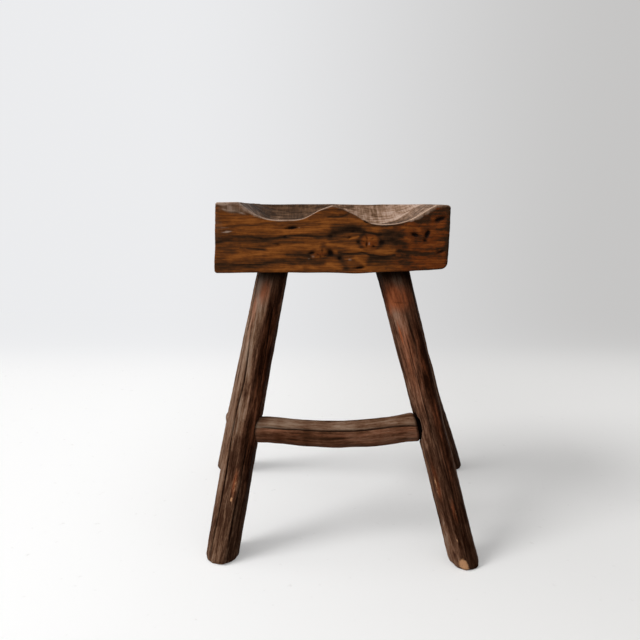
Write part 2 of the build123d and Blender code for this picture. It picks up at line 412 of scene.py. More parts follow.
class StoolLook(PropertyGroup):
    """Colours, gloss and light"""
    leg_dark: shade("Leg shade", "Darkest streaks of the legs", (0.016, 0.0045, 0.0016))
    leg_brown: shade("Leg brown", "Middle brown of the legs", (0.060, 0.0265, 0.0145))
    leg_tan: shade("Leg tan", "Light streaks of the legs", (0.155, 0.082, 0.048))
    leg_warm: shade("Leg warm tan", "Light streaks of the redder legs", (0.140, 0.068, 0.040))
    leg_grey: shade("Leg grey", "Weathered grey of the legs", (0.235, 0.155, 0.108))
    leg_rust: shade("Leg rust", "Red-brown patches of the legs", (0.13, 0.034, 0.0125))
    leg_red: shade("Leg red", "Lightest red of those patches", (0.34, 0.10, 0.040))
    leg_pale: shade("Leg pale", "Palest wear of the legs", (0.36, 0.265, 0.20))
    bare_wood: shade("Bare wood", "Fresh wood in chips and scrapes", (0.48, 0.25, 0.125))
    # Also the colour of the painted shade under the seat, beside the stretcher's right end and on
    # its housed ends
    crack_and_shade_black: shade("Crack black", "Inside of cracks and holes", (0.005, 0.0018, 0.0008))
    leg_roughness: share("Leg roughness", "Roughness of the legs", 0.6)
    leg_gloss: share("Leg gloss", "Specular level of the legs", 0.01)
    seat_dark: shade("Seat shade", "Dark streaks of the block", (0.040, 0.0180, 0.0080))
    seat_black: shade("Seat black", "Darkest streaks of the block", (0.012, 0.005, 0.0022))
    seat_brown: shade("Seat brown", "Middle brown of the block", (0.10, 0.034, 0.0105))
    seat_honey: shade("Seat honey", "Honey brown of the block", (0.20, 0.060, 0.0125))
    seat_orange: shade("Seat orange", "Lightest orange of the block", (0.35, 0.113, 0.0225))
    knot_red: shade("Knot red", "Reddish heart of the knots", (0.160, 0.036, 0.0070))
    worn_dark: shade("Saddle shade", "Dark grain of the worn saddle", (0.032, 0.0155, 0.0075))
    worn_brown: shade("Saddle brown", "Brown of the worn saddle", (0.10, 0.052, 0.027))
    worn_tan: shade("Saddle tan", "Tan of the worn saddle", (0.24, 0.145, 0.093))
    worn_grey: shade("Saddle grey", "Pale grey of the worn saddle", (0.42, 0.30, 0.235))
    rim_light: shade("Rim light", "Polished pale rim of the saddle", (0.38, 0.26, 0.19))
    seat_roughness: share("Seat roughness", "Roughness of the block", 0.5)
    seat_gloss: share("Seat gloss", "Specular level of the block", 0.035)
    stretcher_brown: shade("Stretcher brown", "Warm brown under its crack",
                           (0.085, 0.038, 0.019))
    stretcher_tan: shade("Stretcher tan", "Tan of its split face", (0.16, 0.088, 0.054))
    stretcher_grey: shade("Stretcher grey", "Grey of its split face", (0.26, 0.175, 0.12))
    # The backdrop and floor run from a lighter window's side to a darker far side: painted light
    # falling off away from the window
    backdrop_left: shade("Backdrop left", "Backdrop on the window's side", (0.835, 0.84, 0.855))
    backdrop_right: shade("Backdrop right", "Backdrop on the far side", (0.565, 0.56, 0.555))
    floor_left: shade("Floor left", "Floor on the window's side", (0.98, 0.978, 0.975))
    floor_right: shade("Floor right", "Floor on the far side", (0.765, 0.758, 0.748))
    floor_dust: shade("Floor dust", "Dull specks on the floor", (0.45, 0.43, 0.41))
    backdrop_bounce: shade("Backdrop bounce", "What the floor throws back", (0.24, 0.24, 0.24))
    floor_glow: share("Floor glow", "How far the floor's shadows are lifted", 0.28)
    window_level: level("Window", "Strength of the small lamp", 0.63)
    wall_level: level("Left wall", "Strength of the broad lamp", 0.475)
    ceiling_level: level("Ceiling", "Strength of the lamp above", 0.295)
    room_level: level("Room", "Strength of the light all around", 0.19)


class StoolSizes(PropertyGroup):
    """How fine the meshes are, and the sizes of what the joints hide"""
    leg_columns: count("Leg columns", "Faces around a leg", 128)
    leg_step: length("Leg step", "Height of one ring of faces on a leg", 2.0 * MM)
    tenon_radius: length("Tenon radius", "Radius of the leg tenons", 19 * MM)
    tenon_rise: length("Tenon rise", "Height of the leg tenons in the seat", 52 * MM)
    seat_cuts_wide: count("Seat cuts wide", "Cuts across the seat", 250)
    seat_cuts_deep: count("Seat cuts deep", "Cuts from front to back", 83)
    seat_cuts_high: count("Seat cuts high", "Cuts up the seat's sides", 75)
    stretcher_columns: count("Stretcher columns", "Faces around the stretcher", 112)
    stretcher_rings: count("Stretcher rings", "Faces along the stretcher", 190)
    stretcher_tenon_radius: length("Stretcher tenon", "Radius of its tenons", 12 * MM)
    tenon_inset: length("Tenon inset", "From a tenon's end to inside its shoulder", 42 * MM)


# Branch legs

# tone carries painted light and shade besides the wood's streaks; dark carries cracks and painted
# shade
LEG_MARKS = ("tone", "red", "bare", "dark")
LEG_CLEAR = 60 * MM  # from a leg's middle to well outside its skin
LEG_LEAST = 14 * MM  # a column with less than this has looked into a socket
END_MARGIN = 0.4 * MM  # how far inside its ends a leg's skin is measured
DRAW_ANGLE = 0.4  # how far around a crack the columns are drawn to it
FLAT_ANGLE = 1.1  # how far around its middle a drawknifed flat reaches
SEAT_SHADE_DROP = 30 * MM  # how far down from the seat a leg gets painted shade
# Relief has rows of a depth in mm, a stretch along the grain, a scale in metres and a seed
LEG_RELIEF = ((0.7, 0.35, 0.022, 0), (0.35, 0.06, 0.0035, 1), (0.4, 1.2, 0.012, 2))


class Crack:
    """A drying crack along a leg, through pairs of a height in mm and a bearing."""

    def __init__(self, points, width, depth, seed):
        self.points = [(height * MM, radians(bearing)) for height, bearing in pairs(points)]
        self.low = self.points[0][0]
        self.high = self.points[-1][0]
        self.width = width * MM
        self.depth = depth * MM
        self.seed = seed

    def path(self, height):
        """The crack's bearing at a height, with a slow wander."""
        return along_path(self.points, height) + 0.05 * rough((0, 0, height), 0.05, self.seed)

    def strength(self, height):
        """1 along the crack, fading to nothing at its two ends."""
        fade = 0.18 * (self.high - self.low)
        ends = ease((height - self.low) / fade) * ease((self.high - height) / fade)
        return ends * (0.75 + 0.35 * rough((height, 0, 0), 0.03, self.seed + 4))


class Spot(NamedTuple):
    """A patch on a leg at a bearing and a height, with its two half sizes in mm."""
    mark: str
    bearing: float
    height: float
    around: float
    along: float
    strength: float
    rise: float = 0.0

    def share(self, angle, height, radius):
        """How much of the patch is at a place, from 0 to 1."""
        along = abs(height / MM - self.height) / self.along
        if along > 2.2:
            return 0.0
        across = turn_between(angle, radians(self.bearing)) * radius / (self.around * MM)
        return exp(-(across * across + along * along))


class Branch:
    """What one leg has of its own: tan names its middle tone, and shift moves its pattern.

    Each flat is a bearing and a depth in mm; cracks and spots are rows for their classes.
    """

    def __init__(self, seed, tan, shift, flats, cracks, spots):
        self.seed = seed
        self.tan = tan
        self.shift = shift
        self.flats = flats
        self.cracks = [Crack(*row) for row in cracks]
        self.spots = [Spot(mark, *row) for mark, rows in spots.items() for row in rows]


# The tone spots mostly lighten the side of a leg toward the window and darken the side away from
# it: painted light and shade over the wood's own streaks
LEGS = {
    # It has a long dark crack on the side toward the light
    "front_left": Branch(1, "leg_tan", 1.0, ((-112, 1.5), (-52, 2.2), (75, 1.8), (125, 1.5)), (
        ((-60, -148, 0, -141, 90, -131, 131, -131, 185, -134, 245, -138, 266, -137, 319, -127,
          351, -130, 397, -139, 435, -144, 480, -153), 2.0, 4.5, 3),
        ((20, -74, 220, -70), 1.5, 1.8, 5),
        ((300, -58, 470, -64), 1.5, 2, 6),
        ((50, 38, 380, 43), 2.2, 4, 7),
        ((150, 153, 460, 147), 2.0, 3, 8),
    ), {
        # painted light on the left side toward the window, painted shade on the right side
        "tone": (
            (-128, 462, 16, 80, 1.15), (-152, 410, 8, 110, 0.8), (-95, 200, 16, 70, -0.2),
            (-142, 295, 8, 45, 0.5), (-118, 350, 14, 60, 0.5), (-80, 400, 7, 100, -1.1),
            (-83, 250, 7, 60, -0.6), (-40, 380, 13, 150, -0.8), (-52, 455, 11, 50, -0.85),
            (-42, 120, 13, 170, -0.6), (-58, 320, 3, 60, 0.6), (-138, 480, 13, 28, 0.65),
            (-125, 60, 20, 70, 0.3)),
        "red": (
            (-55, 330, 20, 230, 0.55), (-152, 455, 7, 30, 0.6), (-112, 480, 12, 26, 0.75),
            (-145, 440, 9, 60, 0.45), (-90, 143, 5, 28, 0.8)),
        "bare": ((-88, 137, 2.2, 23, 0.55), (-93, 116, 1.6, 4, 1.4, -0.5), (-95, 2, 24, 4, 0.6)),
    }),
    # It has a red-brown top and bare chips on its worn foot
    "front_right": Branch(2, "leg_warm", 12.0, (
        (-122, 1.5), (-66, 2.0), (-15, 1.6), (50, 1.8), (110, 1.5),
    ), (
        ((60, -74, 240, -68), 1.2, 1.5, 11),
        ((200, -97, 420, -104), 1.2, 1.5, 12),
        ((40, 63, 400, 57), 2.4, 4, 14),
    ), {
        "red": (
            (-105, 470, 30, 26, 1.1), (-150, 462, 9, 26, 1.3), (-108, 370, 24, 110, 0.48),
            (-125, 404, 3.0, 26, 0.9), (-62, 300, 12, 200, 0.5), (-130, 150, 5, 36, 0.65),
            (-84, 100, 6, 24, 0.6)),
        # painted light on the left side toward the window, painted shade on the right side
        "tone": (
            (-118, 390, 14, 40, 0.4), (-112, 425, 12, 24, 0.4), (-140, 455, 12, 36, 0.4),
            (-80, 290, 8, 60, -0.2), (-100, 345, 12, 40, 0.4), (-66, 130, 9, 120, -0.8),
            (-100, 80, 26, 80, -0.5), (-130, 196, 20, 30, -0.4), (-42, 330, 12, 260, -0.9),
            (-100, 120, 22, 130, -0.2)),
        # a ring cut near the top, and painted shade beside the stretcher's right end over a
        # shallow hollow
        "dark": ((-98, 461, 11, 1.3, 0.5, -0.8), (-163, 246, 7, 21, 1.1, -2.5)),
        "bare": (
            (-135, 145, 2.4, 25, 0.5), (-82, 98, 2.2, 8, 0.5), (-102, 52, 1.2, 5, 0.7, -0.4),
            (-100, 9, 7.5, 11, 1.6, -2.0), (-160, -2, 18, 11, 0.35, -3.2)),
    }),
    "rear_left": Branch(3, "leg_tan", 23.0, ((-105, 1.5), (-50, 1.5), (60, 1.8), (110, 1.5)), (
        ((50, 91, 420, 99), 2.6, 5, 21),
        ((120, -17, 360, -23), 1.8, 3, 22),
    ), {
        "red": ((90, 440, 20, 45, 0.8),),
        # painted light on the left side toward the window, painted shade toward the right
        "tone": ((-150, 200, 20, 240, 0.9), (-20, 250, 12, 260, -0.4)),
    }),
    "rear_right": Branch(4, "leg_warm", 34.0, ((-115, 1.5), (-60, 1.5), (60, 1.8), (110, 1.5)), (
        ((80, 84, 460, 76), 2.6, 5, 31),
        ((50, 167, 280, 173), 1.8, 3, 32),
    ), {
        "red": ((110, 420, 20, 50, 0.8),),
        "tone": ((-90, 250, 40, 300, -1.0), (0, 185, 25, 75, 0.0, -3.6)),
    }),
}


def close_gaps(ring, centre):
    """Bridges the columns of a ring that looked into a socket, straight from side to side."""
    count = len(ring)
    known = {index for index, place in enumerate(ring) if place is not None}
    if not known:
        raise ValueError("a ring of a leg found no skin")
    for index in set(range(count)) - known:
        before = next(step for step in range(count) if (index - step) % count in known)
        after = next(step for step in range(count) if (index + step) % count in known)
        ring[index] = ring[(index - before) % count].lerp(
            ring[(index + after) % count], before / (before + after))
    return [place - centre for place in ring]


def ring_of_skin(solid, centre, angles):
    """The skin around a leg at one height; a column that looks into a socket is bridged."""
    ring = []
    for angle in angles:
        outward = Vector((cos(angle), sin(angle), 0))
        reach = solid.reach(centre + outward * LEG_CLEAR, -outward)
        radius = LEG_CLEAR - reach if reach else 0
        ring.append(centre + outward * radius if radius > LEG_LEAST else None)
    return close_gaps(ring, centre)


def drawn_to_crack(angle, height, cracks):
    """Moves a column toward a crack beside it, so that the crack's walls get more faces."""
    for crack in cracks:
        if crack.low < height < crack.high:
            away = turn_between(angle, crack.path(height))
            if abs(away) < DRAW_ANGLE:
                pull = 0.6 * crack.strength(height)
                return crack.path(height) + away * (1 - pull * (1 - ease(abs(away) / DRAW_ANGLE)))
    return angle


def planed(radius, mean, angle, height, flats):
    """The radius after the drawknife has taken its flats off."""
    for number, (bearing, depth) in enumerate(flats):
        wander = 0.18 * rough((0, number, height), 0.11, 51)
        away = abs(turn_between(angle, radians(bearing) + wander))
        if away < FLAT_ANGLE:
            flat = (mean - depth * MM) / cos(away)
            radius = min(radius, 0.15 * radius + 0.85 * flat)
    return radius


def hewn_skin(place, mean, angle, height, underside, branch):
    """One point of a leg's skin, from the leg's middle at its height, and its marks."""
    radius = place.length
    outward = place / radius
    radius = planed(radius, mean, angle, height, branch.flats)
    skin = Vector((place.x, place.y, height))
    radius += hewing(skin, 2, LEG_RELIEF, branch.seed)
    marks = dict.fromkeys(LEG_MARKS, 0.0)
    # painted shade on the top of the leg, under the seat
    marks["dark"] = 0.9 * ease((height - underside + SEAT_SHADE_DROP) / (0.9 * SEAT_SHADE_DROP))
    for crack in branch.cracks:
        strength = crack.strength(height)
        if strength > 0:
            away = abs(turn_between(angle, crack.path(height))) * radius
            hollow = bump(away, crack.width * 0.5)
            radius -= crack.depth * strength * hollow
            marks["dark"] = max(marks["dark"], min(1.0, strength * hollow * 2))
    for spot in branch.spots:
        share = spot.share(angle, height, radius)
        if share > 0.01:
            radius += spot.rise * MM * share
            if spot.mark == "tone":
                marks["tone"] += spot.strength * share
            else:
                marks[spot.mark] = max(marks[spot.mark], min(1.0, spot.strength * share))
    frayed = 1 + rough(skin, 0.012, branch.seed + 3)
    radius -= 1.5 * MM * (1 - ease(height / (9 * MM))) * frayed
    return outward * radius, tuple(marks[mark] for mark in LEG_MARKS)


def branch_leg(look, sizes, place, branch):
    """A branch fitted to its CAD solid, with its cracks, spots and drawknifed flats."""
    node = "leg_" + place
    name = place + "_leg"
    solid = Solid(node)
    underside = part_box("seat_block")[0].z
    foot = solid.middle(0)
    step = solid.middle(underside) - foot
    axis = step.normalized()
    rings = round(underside / sizes.leg_step)
    total = rings + 2
    mesh = lengthwise_tube(sizes.leg_columns, total - 1)
    by_ring = [[] for _ in range(total + 1)]
    for vertex in mesh.verts:
        by_ring[round((vertex.co.z + 1) / 2 * total)].append(vertex)
    marks = [(0.0,) * len(LEG_MARKS)] * len(mesh.verts)
    grain = [None] * len(mesh.verts)
    for ring, vertices in enumerate(by_ring):
        vertices.sort(key=lambda vertex: atan2(vertex.co.y, vertex.co.x))
        angles = [atan2(vertex.co.y, vertex.co.x) for vertex in vertices]
        height = underside * min(ring / rings, 1) + (sizes.tenon_rise if ring == total else 0)
        centre = foot + step * (height / underside)
        if ring > rings:
            skin = [Vector((cos(a), sin(a), 0)) * sizes.tenon_radius for a in angles]
        else:
            angles = [drawn_to_crack(angle, height, branch.cracks) for angle in angles]
            level = min(max(height, END_MARGIN), underside - END_MARGIN)
            skin = ring_of_skin(solid, Vector((centre.x, centre.y, level)), angles)
        mean = sum(around.length for around in skin) / len(skin)
        for vertex, angle, around in zip(vertices, angles, skin):
            if ring <= rings:
                around, marks[vertex.index] = hewn_skin(around, mean, angle, height, underside,
                                                        branch)
            vertex.co = centre + around
            across = vertex.co - foot
            along = across.dot(axis)
            across -= axis * along
            grain[vertex.index] = (along, across.x, across.y)
    bmesh.ops.recalc_face_normals(mesh, faces=mesh.faces)
    wood = leg_wood(name.replace("_", " ") + " wood", look, getattr(look, branch.tan),
                    branch.shift)
    finished(mesh, name, node, wood, grain, LEG_MARKS, marks)


# The hewn block with its carved saddle

SEAT_MARKS = ("tone", "red", "worn", "saddle_tone", "bare", "dark")
SEAT_INSET = 14 * MM  # how far inside the block's sides its grid starts to fan out
FACE_DEPTH = 8 * MM  # how far back the front's streaks and knots reach round its arris
SEAT_RELIEF = ((0.9, 0.5, 0.03, 41), (0.35, 0.12, 0.0045, 42))
CREST = -26  # where the pommel's crest is, in mm across
# Bells across the block, each with its place and width in mm and its height
WALL_TONES = ((98, 26, -0.8), (64, 16, -0.35), (134, 14, 0.3))
LIP_WIDTHS = ((-172, 26, 4.5), (138, 34, 7.5), (CREST, 18, 2.5))
EDGE_WAVES = ((112, 45, 2.6), (19, 28, -1.6))
KNOT_REACH = 3.2  # how many half sizes away a knot still shows
FAR = 1000.0  # further than any streak is, in mm


class Streak:
    """A dark (-) or pale (+) line on the block's front, through points in mm across and up."""

    def __init__(self, points, width, tone, rise=0.0):
        self.points = list(pairs(points))
        self.width = width
        self.tone = tone
        self.rise = rise
        reach = 2.2 * width
        across, up = zip(*self.points)
        self.low = (min(across) - reach, min(up) - reach)
        self.high = (max(across) + reach, max(up) + reach)

    def share(self, x, z):
        """How much of the line is at a place, from 0 to 1."""
        if not (self.low[0] < x < self.high[0] and self.low[1] < z < self.high[1]):
            return 0.0
        nearest = FAR
        for (ax, az), (bx, bz) in zip(self.points, self.points[1:]):
            dx, dz = bx - ax, bz - az
            share = ((x - ax) * dx + (z - az) * dz) / (dx * dx + dz * dz)
            share = min(max(share, 0.0), 1.0)
            nearest = min(nearest, hypot(x - ax - share * dx, z - az - share * dz))
        return bump(nearest, self.width)


class Knot(NamedTuple):
    """A knot, hole or patch on the block's front: its place and half sizes in mm.

    Its slope tilts it, its rise stands out in mm, and its bend turns the grain around it.
    """
    mark: str
    x: float
    z: float
    wide: float
    high: float
    strength: float
    rise: float = 0.0
    slope: float = 0.0
    bend: float = 0.0

    def away(self, x, z):
        """The distance from the knot's middle in its own half sizes."""
        across = x - self.x
        return hypot(across / self.wide, (z - self.z - self.slope * across) / self.high)


STREAKS = [Streak(*row) for row in (
    ((-232, 572, -197, 572, -153, 572.8, -141, 575.4, -124, 577.7, -109, 580.5), 2.8, -1.0, -0.4),
    ((-207, 583.6, -192, 581, -170, 580, -150, 577.4), 1.7, -0.75),
    ((-109, 580.5, -87, 582.9, -73, 581.2, -51, 580, -29, 581), 3.0, -1.1, -0.4),
    ((-29, 580.9, -16, 585.1, -5, 590.1, 7, 593, 21, 593.7), 5.5, -1.0, -0.4),
    ((-24, 592.3, -11, 595.9, 0, 595.2, 14, 593, 28, 588), 4.5, -0.9),
    ((-233, 529.7, -213, 528.7, -171, 528.7, -154, 530.4, -139, 534.5, -124, 536.3, -109, 536,
      -95, 533.7, -65, 534.8, -43, 534.5), 4.0, -1.0, -0.4),
    ((-228, 558, -204, 558), 10, -0.65),
    ((-210, 598, -189, 599, -158, 601.3, -138, 603.8, -116, 606), 2.0, -0.55),
    ((-188, 560.4, -171, 559.4, -150, 558.2, -139, 555.3), 1.4, -0.7, -0.2),
    ((-130, 567.7, -115, 569.6, -100, 570.5, -76, 569.9), 1.5, -0.7, -0.2),
    ((-105, 548.8, -86, 549.5, -68, 544.4), 3.4, -0.8),
    ((-88, 541, -64, 541), 3.0, -0.5),
    ((-34, 614.5, -17, 613.8, -4, 616.6, 4, 620.9), 1.4, -0.9, -0.5),
    ((29, 589.4, 45, 585.8, 59, 582.9), 1.8, -0.9, -0.3),
    ((58, 587, 76, 589, 98, 586), 4.5, -0.95),
    ((60, 571, 78, 574, 99, 567), 5.0, -0.8),
    ((66, 580, 82, 578, 94, 580), 4.5, -0.7),
    ((34, 604.6, 47, 600.9, 68, 598.9, 82, 599.9, 97, 602), 1.6, -0.8),
    ((91, 554.6, 113, 552.1, 132, 549.5, 149, 551.2, 162, 557.5, 177, 561.2), 3.0, -1.1, -0.4),
    ((-15, 552.7, 3, 551, 18, 550.4, 25, 552.4, 32, 551, 40, 547.3, 62, 546.3, 84, 547.2), 1.8,
      -1.3, -0.6),
    ((40, 538.5, 62, 536.6, 84, 536.3, 107, 534.8), 5.5, -0.8),
    ((42, 544, 60, 543, 87, 543.6, 107, 546), 3.4, -0.9),
    ((-13, 546, -9, 536.3, -2, 525.3), 5.0, -0.85),
    ((-34, 546, -20, 545), 4.0, -0.5),
    ((137, 618, 154, 621, 174, 623), 6.0, -0.7),
    ((118, 607, 139, 607.5), 5.0, -0.8),
    ((165, 590, 172, 575, 172, 560), 4.0, -0.4),
    ((-199, 607.3, -178, 607.3, -164, 608.8), 5.5, 0.55),
    ((-199, 588.7, -167, 589.4, -138, 588.7, -112, 587.6), 4.0, 0.6),
    ((-109, 588, -80, 590, -58, 593, -34, 599), 4.0, 0.9),
    ((-208, 541, -183, 548.5, -153, 550.5), 5.0, 0.65),
    ((-139, 557.5, -109, 561.2, -73, 564.5, -52, 562.6), 5.5, 0.9),
    ((-34, 567.4, -12, 565.5, 10, 561.2, 32, 557.5, 54, 555, 82, 556), 4.0, 0.95),
    ((97, 596.6, 109, 595.2, 125, 592), 3.4, 0.8),
    ((44, 596, 59, 593.4, 77, 594.4), 2.6, 0.6),
    ((112, 563, 127, 563.5, 156, 567, 170, 570), 4.5, 0.55),
    ((-34, 531.9, -22, 527.5, -10, 525), 3.0, 0.75),
    ((-107, 525, -80, 525), 3.0, 0.5),
    ((16, 543, 26, 536, 30, 533), 4.6, 1.0),
    ((4, 576.8, 20, 580.7), 1.2, 1.5, -0.3),
    ((151, 555, 164, 558.2), 1.0, 1.2, -0.3),
    ((100, 577, 112, 572), 4.0, 0.5),
)]

KNOTS = [Knot(mark, *row) for mark, rows in {
    "red": (
        (40, 571.5, 15, 12.5, 1.0, 0.8, 0, 6), (-48, 551, 15, 8, 0.6, 0.4, 0.15, 4),
        (143, 534, 34, 10, 0.5)),
    "dark": (
        (-96.5, 595.2, 8.0, 2.1, 1.9, -2.4, 0.1), (-107, 594, 4, 1.0, 1.0, -1.0),
        (-122, 566.5, 4.0, 2.4, 0.7, -0.4, 0, 2), (-62, 551.7, 5.0, 2.2, 1.3, -1.6, 0.15),
        (-29, 551.5, 5.6, 5.4, 1.3, -2.4, -0.3, -3), (-44, 556, 1.4, 3.4, 0.7, -0.5, 0.5),
        (-47, 546, 1.2, 3.6, 0.7, -0.5), (-38, 548, 3.0, 1.2, 0.7, -0.5, 0.6),
        (-52, 550, 3.0, 1.0, 0.6, -0.5, -0.4), (32, 606.3, 3.6, 2.2, 1.5, -1.6, -0.4),
        (34, 567.3, 1.5, 5.0, 1.2, -1.4, 0.8), (46, 563.5, 2.4, 1.8, 1.0, -0.8),
        (34, 578, 1.2, 2.8, 0.8, -0.5, -0.7), (44, 577, 2.6, 1.0, 0.8, -0.5, 0.6),
        (28, 572, 3.0, 1.0, 0.7, -0.5, -0.3), (50, 570, 2.6, 0.9, 0.7, -0.5, 0.2),
        (19, 571, 3.4, 2.6, 1.0, -0.8), (61.5, 570, 4.4, 4.0, 1.0, -1.0),
        (10, 589.5, 3.6, 1.8, 1.0, -0.8, 0.3), (4, 579, 3.4, 1.8, 1.0, -0.8, 0.2),
        (118.5, 583.2, 5.6, 3.0, 1.9, -2.8, -0.25), (140, 584.8, 3.8, 5.6, 2.0, -3.4, 0.6),
        (136, 574, 3.6, 2.6, 1.1, -1.2), (161, 610.5, 8.2, 3.2, 1.9, -2.8, 0.3),
        (163.5, 553.4, 6.6, 1.7, 1.4, -1.8, 0.3), (-13, 542.5, 3.4, 3.4, 1.2, -1.6),
        (23, 527.2, 8.0, 1.9, 1.5, -2.0, 0.1), (-196, 622, 12, 1.6, 0.35, 0, -0.1)),
    "bare": (
        (-84, 595.9, 2.6, 1.2, 0.45), (-60, 545.6, 3.6, 2.4, 0.42, 0.4),
        (-67, 541.5, 3.4, 1.2, 0.35), (38.5, 568.5, 1.3, 3.0, 0.6, -0.3, 0.8),
        (5, 540, 4.0, 2.6, 0.5, 0.4), (-211, 588.6, 9.0, 1.3, 1.1, -0.4, 0.12),
        (-214, 596, 10.0, 1.6, 0.35), (-217, 637.5, 11, 3.0, 1.5), (-196, 636, 14, 2.2, 0.6),
        (-203, 625, 14, 2.4, 0.5, 0, -0.1), (-214, 627, 5, 1.2, 0.8, 0, -0.2),
        (-184, 621, 8, 2.0, 0.5, 0, -0.3)),
    "worn": ((-198, 628, 26, 8, 0.85, 0, -0.14), (-228, 600, 13, 28, 0.32)),
}.items() for row in rows]


def seat_cube(cuts):
    """A cube from -1 to 1 cut into a grid, with its own number of cuts along each side."""
    mesh = bmesh.new()
    bmesh.ops.create_cube(mesh, size=2)
    for axis, count in enumerate(cuts):
        along = [edge for edge in mesh.edges
                 if abs(edge.verts[0].co[axis] - edge.verts[1].co[axis]) > 0.001]
        bmesh.ops.subdivide_edges(mesh, edges=along, cuts=count, use_grid_fill=True)
    for vertex in mesh.verts:
        depth = vertex.co.y
        vertex.co.y = 0.5 * depth + 0.5 * sin(depth * pi / 2)
    return mesh


def fit_to_block(mesh, solid, low, high):
    """Lays the cube's grid on the block's skin, fanned out around its arrises."""
    inset = SEAT_INSET
    tops = {}
    for vertex in mesh.verts:
        a, b, c = vertex.co
        box = Vector((low.x + (a + 1) / 2 * (high.x - low.x),
                      low.y + (b + 1) / 2 * (high.y - low.y), 0))
        x = min(max(box.x, low.x + inset), high.x - inset)
        y = min(max(box.y, low.y + inset), high.y - inset)
        key = (round(x, 6), round(y, 6))
        if key not in tops:
            tops[key] = solid.top(x, y, high.z + inset)
        top = tops[key]
        box.z = low.z + (c + 1) / 2 * (top - low.z)
        anchor = Vector((x, y, min(max(box.z, low.z + inset), top - 0.7 * inset)))
        outward = (box - anchor).normalized()
        reach = solid.reach(anchor, outward)
        vertex.co = anchor + outward * reach if reach else box


def front_marks(place, marks):
    """The front's streaks and knots at a place: how far it rises, and how the grain bends."""
    x = place.x / MM
    z = place.z / MM
    rise = 0.0
    bend = 0.0
    wander = 1.5 * rough((place.x * 0.5, 0, place.z), 0.012, 47)
    for streak in STREAKS:
        share = streak.share(x, z + wander)
        if share > 0.02:
            marks["tone"] += streak.tone * share
            rise += streak.rise * share
    wander *= 0.4
    for knot in KNOTS:
        away = knot.away(x, z + wander)
        if away > KNOT_REACH:
            continue
        share = exp(-away ** 2)
        bend += knot.bend * (1 if z > knot.z else -1) * (1 - exp(-away)) * exp(-away)
        rise += knot.rise * share
        marks[knot.mark] = max(marks[knot.mark], min(1.0, knot.strength * share * 1.2))
        if knot.mark == "red":
            marks["tone"] -= 0.9 * knot.strength * bump(away - 1.25, 0.25)
    return rise * MM, bend * MM


def saddle_marks(place, low, carved, marks):
    """How worn and how pale the saddle is at a place, with its worn rims and a painted highlight
    along its right fold.
    """
    x = place.x / MM
    behind = (place.y - low.y) / MM
    right = ease((x + 40) / 60)
    fold = behind - 150 - 20 * ease((x - 95) / 50)
    slope = ease(fold / 12 + 0.5)
    walls = 0.15 * right - 0.1 + bumps(x, WALL_TONES)
    rear = 0.35 * ease((x + 150) / 30) + 0.85 * right + 0.5 * ease((x - 45) / 50) - 0.95
    marks["saddle_tone"] = walls * (1 - slope) + rear * slope
    # painted highlight along the fold where the right wall meets the rear slope
    marks["saddle_tone"] += 0.7 * bump(fold, 6) * ease((x - 60) / 25)
    crease = rough((place.x * 0.12, place.y + 0.1 * place.x, 0), 0.024, 43)
    marks["saddle_tone"] -= 0.8 * carved * bump(crease, 0.05)
    left = ease((-115 - x) / 50)
    rim = 3.6 + 26 * left * (1 + 0.6 * rough(place, 0.02, 45))
    if x > CREST:
        rim = 9 * ease((x - 38) / 26)
    if rim > 0 and carved > 0:
        edge = 1 - ease((behind / rim - 0.7) / 0.6)
        share = 0.95 - 0.4 * left - 0.5 * ease((x - 140) / 30)
        marks["bare"] = max(marks["bare"], share * carved * edge)
    marks["worn"] = max(carved, marks["worn"])
    return crease


def worn_lip(place, lips, solid, low, high):
    """How far the worn saddle spills over its lip onto the front's face, from 0 to 1."""
    key = round(place.x, 3)
    if key not in lips:
        lips[key] = solid.top(place.x, low.y + 3 * MM, high.z + MM)
    width = (0.8 + bumps(place.x / MM, LIP_WIDTHS)) * MM * (1 + 0.25 * rough(place, 0.01, 44))
    return 1 - ease((lips[key] - place.z) / width - 0.4)


def underside_wave(place, low):
    """How the hewn lower edge dips in the middle and at the left, and lifts at the right."""
    x = place.x / MM
    near = 1 - ease((place.z - low.z) / (24 * MM))
    return MM * near * (bumps(x, EDGE_WAVES) - 0.9 * ease((-150 - x) / 60))


